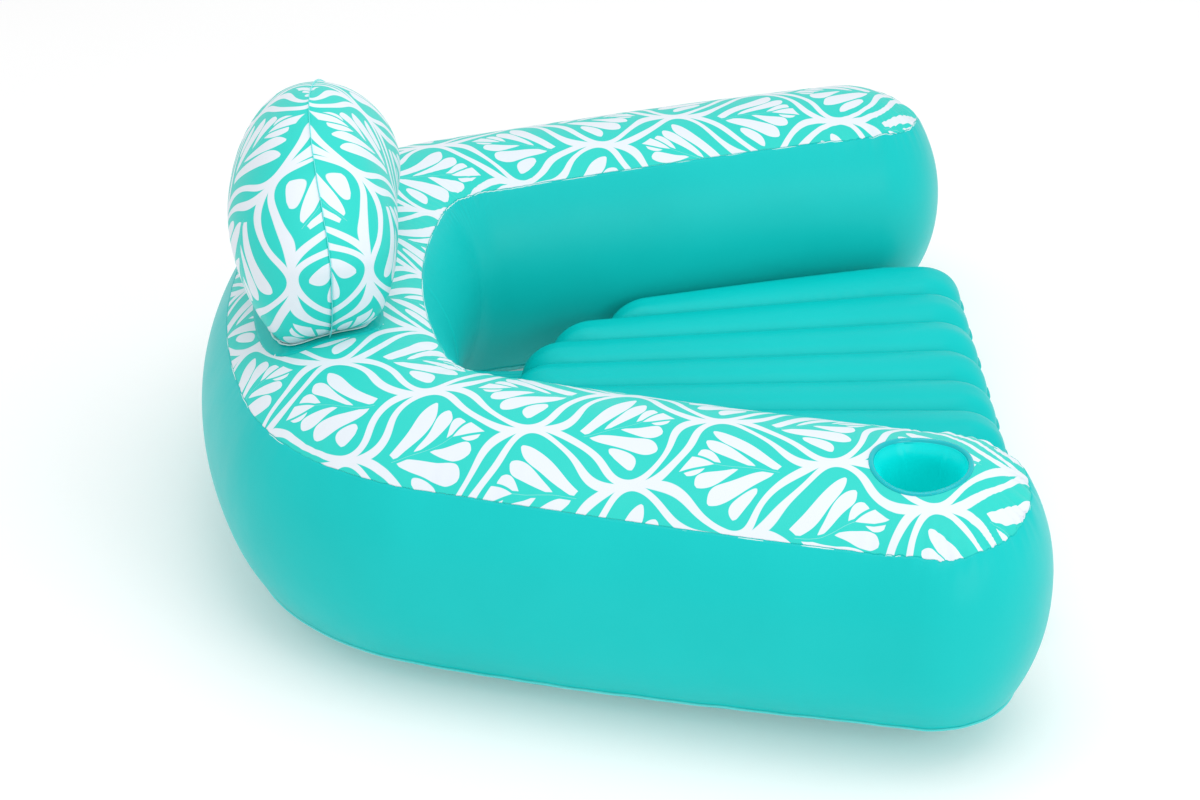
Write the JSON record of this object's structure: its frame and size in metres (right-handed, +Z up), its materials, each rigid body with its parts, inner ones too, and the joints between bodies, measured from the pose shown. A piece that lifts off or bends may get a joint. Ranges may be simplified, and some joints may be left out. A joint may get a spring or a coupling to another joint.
{
  "type": "inflatable pool float",
  "caption": "U-shaped inflatable pool lounge with a leaf-printed top, bolster headrest, ribbed air-mattress seat and a cup holder in one arm.",
  "frame": {"origin": "centre of the bounding box's footprint, on the ground that the float stands on", "axes": "+Z up; the open front of the U, where the feet go, faces -Y; the headrest is at +Y; +X is the sitter's left, and the cup holder is in the -X arm"},
  "size_m": [1.3436, 0.9468, 0.515],
  "materials": {
    "printed_vinyl": "soft semi-gloss vinyl film with a white and teal leaf print",
    "teal_vinyl": "soft semi-gloss opaque teal vinyl film",
    "seat_vinyl": "satin teal vinyl film",
    "seam_vinyl": "pale welded vinyl edge",
    "clear_blue_vinyl": "clear blue vinyl",
    "valve_vinyl": "soft translucent moulded vinyl"
  },
  "bodies": {
    "float": {"ring_top_panel": "printed_vinyl", "ring_outer_wall": "teal_vinyl", "ring_inner_wall": "teal_vinyl", "ring_base_panel": "teal_vinyl", "ring_top_seam": "seam_vinyl", "ring_base_seam": "seam_vinyl", "headrest_patch": "teal_vinyl", "headrest_front_panel": "printed_vinyl", "headrest_rear_panel": "printed_vinyl", "headrest_ridge_seam": "seam_vinyl", "headrest_weld_line": "seam_vinyl", "seat_top_sheet": "seat_vinyl", "seat_bottom_sheet": "seat_vinyl", "seat_beams": "seat_vinyl", "seat_edge_seam": "seat_vinyl", "seat_back_tabs": "seat_vinyl", "cup_holder_rim": "clear_blue_vinyl", "cup_holder_sleeve": "teal_vinyl", "cup_holder_base": "teal_vinyl", "ring_valve_stem": "valve_vinyl", "ring_valve_strap": "valve_vinyl", "headrest_valve_stem": "valve_vinyl", "headrest_valve_strap": "valve_vinyl", "seat_valve_stem": "valve_vinyl", "seat_valve_strap": "valve_vinyl"},
    "ring_plug": {"ring_valve_plug": "valve_vinyl"},
    "ring_flap": {"ring_valve_flap": "valve_vinyl"},
    "headrest_plug": {"headrest_valve_plug": "valve_vinyl"},
    "headrest_flap": {"headrest_valve_flap": "valve_vinyl"},
    "seat_plug": {"seat_valve_plug": "valve_vinyl"},
    "seat_flap": {"seat_valve_flap": "valve_vinyl"}
  },
  "joints": [
    {"name": "ring_plug_pull", "type": "slide", "parent": "float", "child": "ring_plug", "axis": [0.2079, 0.9781, 0], "range_m": [0, 0.012]},
    {"name": "ring_flap_hinge", "type": "hinge", "parent": "float", "child": "ring_flap", "pos_m": [0.21533, 0.43894, 0.16031], "axis": [-0.9781, 0.2079, 0], "range_deg": [0, 60], "stiffness_Nm_per_rad": 0.00002},
    {"name": "headrest_plug_pull", "type": "slide", "parent": "float", "child": "headrest_plug", "axis": [0.7986, 0.6018, 0], "range_m": [0, 0.012]},
    {"name": "headrest_flap_hinge", "type": "hinge", "parent": "float", "child": "headrest_flap", "pos_m": [0.19745, 0.37506, 0.3975], "axis": [-0.6018, 0.7986, 0], "range_deg": [0, 60], "stiffness_Nm_per_rad": 0.00002},
    {"name": "seat_plug_pull", "type": "slide", "parent": "float", "child": "seat_plug", "axis": [0, 0, 1], "range_m": [0, 0.012]},
    {"name": "seat_flap_hinge", "type": "hinge", "parent": "float", "child": "seat_flap", "pos_m": [-0.24448, -0.36608, 0.1257], "axis": [-0.9934, 0.1149, 0], "range_deg": [0, 60], "stiffness_Nm_per_rad": 0.00002}
  ]
}
